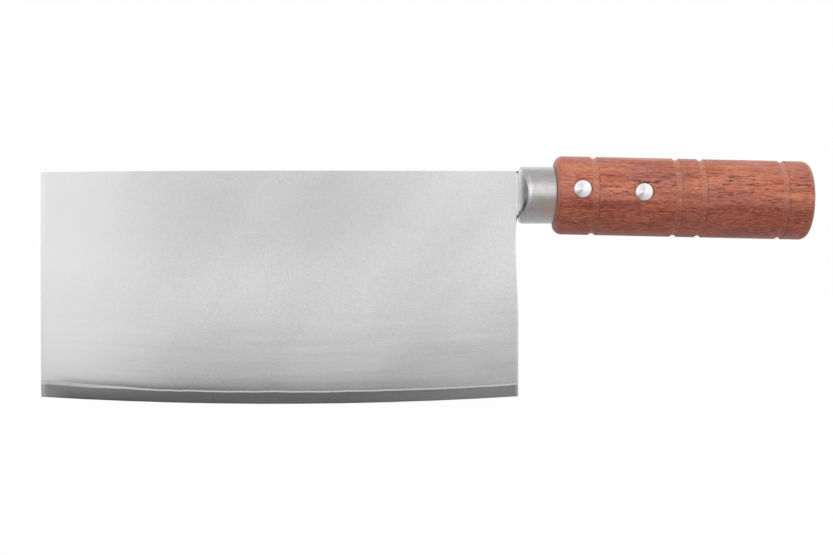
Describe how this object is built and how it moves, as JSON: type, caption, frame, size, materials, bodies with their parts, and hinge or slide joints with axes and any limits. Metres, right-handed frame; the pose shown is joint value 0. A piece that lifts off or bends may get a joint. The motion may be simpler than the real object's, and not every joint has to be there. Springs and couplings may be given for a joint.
{
  "type": "chinese cleaver",
  "caption": "Wide rectangular cleaver with a laminated steel blade, a hollow steel bolster and a turned hardwood handle held by recessed rivets.",
  "frame": {"origin": "under the middle of the whole length, in the blade's mid-plane, level with the lowest point of the cutting edge", "axes": "+X from the front of the blade to the butt of the handle, +Y to the right side of the blade, +Z from the cutting edge up to the spine"},
  "size_m": [0.3214, 0.0328, 0.1039],
  "materials": {
    "core_steel": "ground satin",
    "cladding_steel": "fine satin",
    "bolster_steel": "brushed along the handle",
    "hardwood": "sanded, open pored",
    "rivet_steel": "spun"
  },
  "bodies": {
    "root": {"blade_core": "core_steel", "left_cladding": "cladding_steel", "right_cladding": "cladding_steel", "bolster": "bolster_steel", "handle": "hardwood", "front_rivet_sleeve": "rivet_steel", "front_rivet_stud": "rivet_steel", "rear_rivet_sleeve": "rivet_steel", "rear_rivet_stud": "rivet_steel"}
  },
  "joints": []
}
